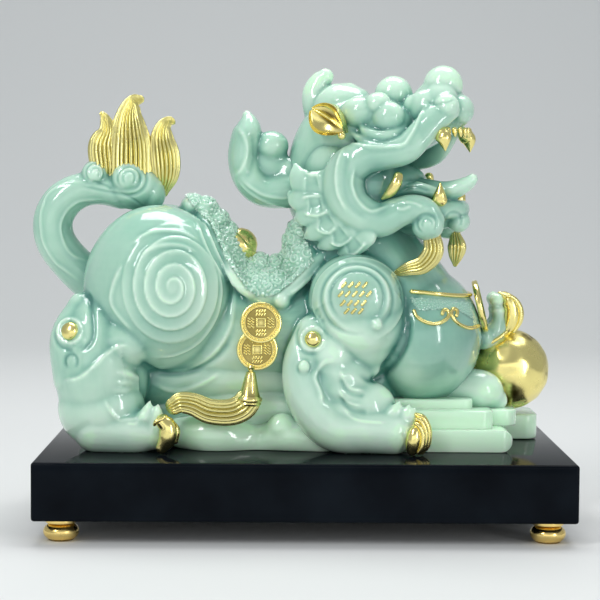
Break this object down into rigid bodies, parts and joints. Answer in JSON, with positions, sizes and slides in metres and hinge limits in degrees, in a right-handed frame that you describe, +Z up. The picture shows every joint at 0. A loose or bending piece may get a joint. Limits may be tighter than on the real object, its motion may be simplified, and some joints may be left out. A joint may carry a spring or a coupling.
{
  "type": "pixiu figurine",
  "caption": "Guardian beast cast in one piece, head turned and mouth open, a forepaw on a ball, set on a flat plinth with round feet.",
  "frame": {"origin": "middle of the underside of the whole object, on the surface that it stands on", "axes": "+X the way the beast looks and the long side of the plinth, +Z up, -Y the flank with the coins and tassel"},
  "size_m": [0.31, 0.18, 0.2658],
  "materials": {
    "jade_resin": "glossy translucent celadon green cast resin",
    "gilding": "bright gold paint over the resin",
    "black_lacquer": "high-gloss black lacquer on a board",
    "polished_brass": "polished"
  },
  "bodies": {
    "root": {"pixiu_figure": "jade_resin", "plinth": "black_lacquer", "foot_rear_left": "polished_brass", "foot_rear_right": "polished_brass", "foot_front_left": "polished_brass", "foot_front_right": "polished_brass"}
  },
  "joints": []
}
